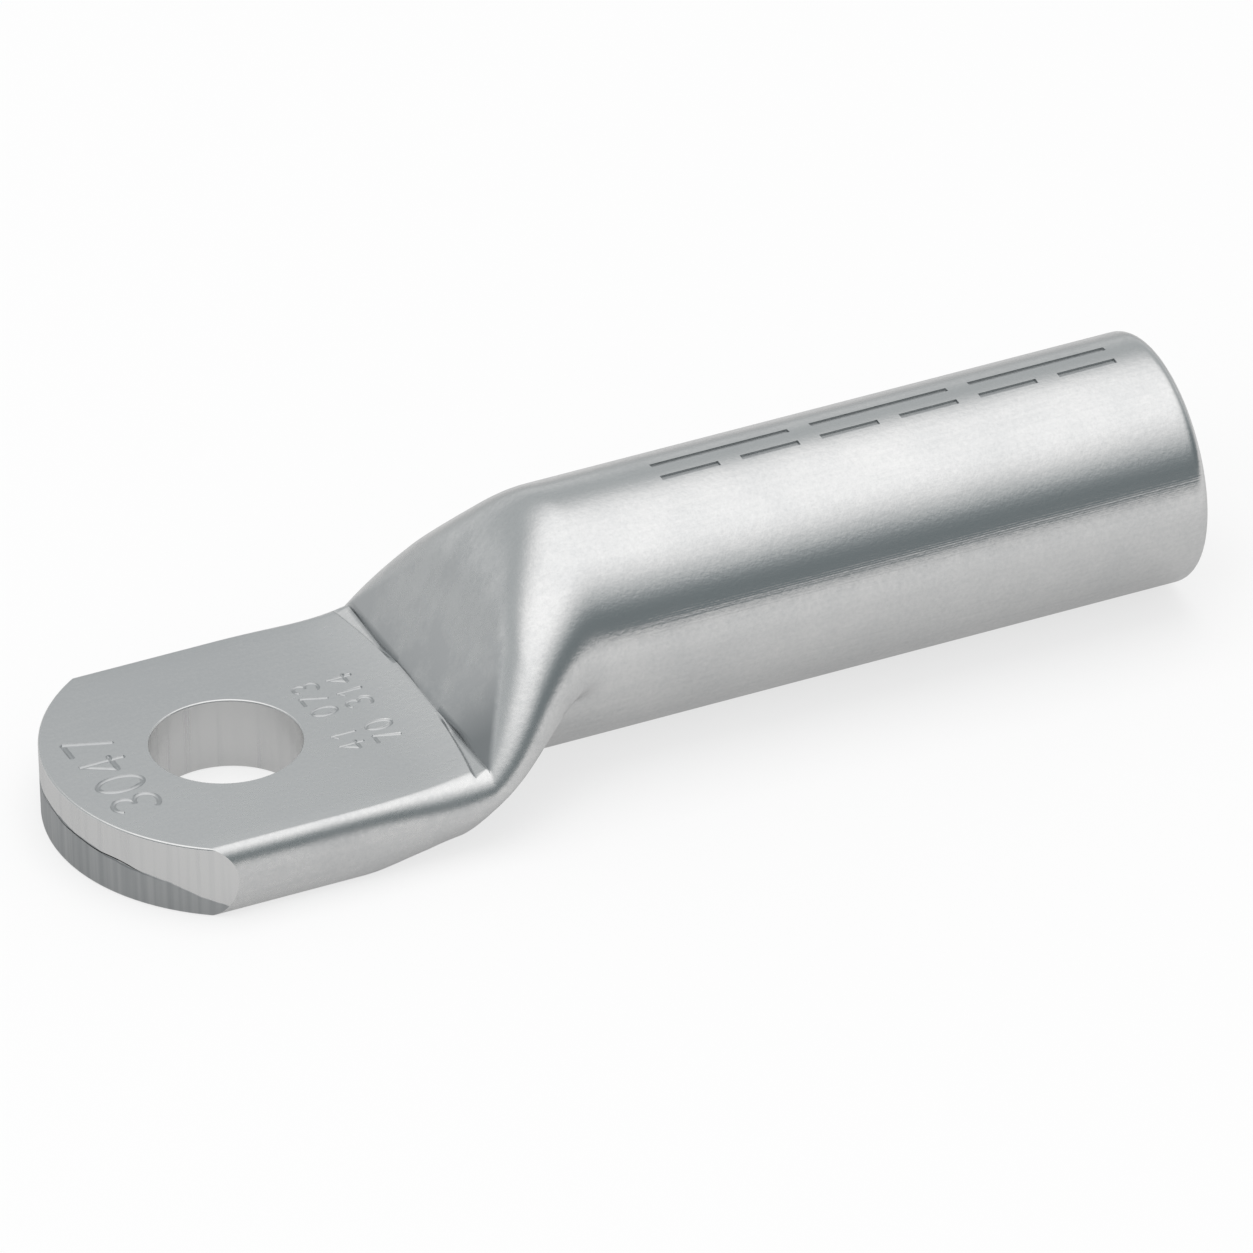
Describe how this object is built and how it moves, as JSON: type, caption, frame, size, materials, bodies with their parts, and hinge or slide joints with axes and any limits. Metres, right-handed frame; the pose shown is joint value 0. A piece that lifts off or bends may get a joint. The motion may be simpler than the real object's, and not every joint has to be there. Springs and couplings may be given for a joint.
{
  "type": "cable lug",
  "caption": "Compression cable lug pressed from aluminium tube: a round barrel for the conductor, a slanted pressed neck and a flat rounded palm with a bolt hole.",
  "frame": {"origin": "middle of the bolt hole, on the face of the palm that lies against the busbar", "axes": "+X along the barrel to its mouth, +Z out of the bolt hole on the side of the pressed facet, +Y across the palm"},
  "size_m": [0.1023, 0.0322, 0.022],
  "materials": {
    "aluminium": "bare pressed aluminium, satin with a fine mottled grain"
  },
  "bodies": {
    "root": {"cable_lug": "aluminium"}
  },
  "joints": []
}
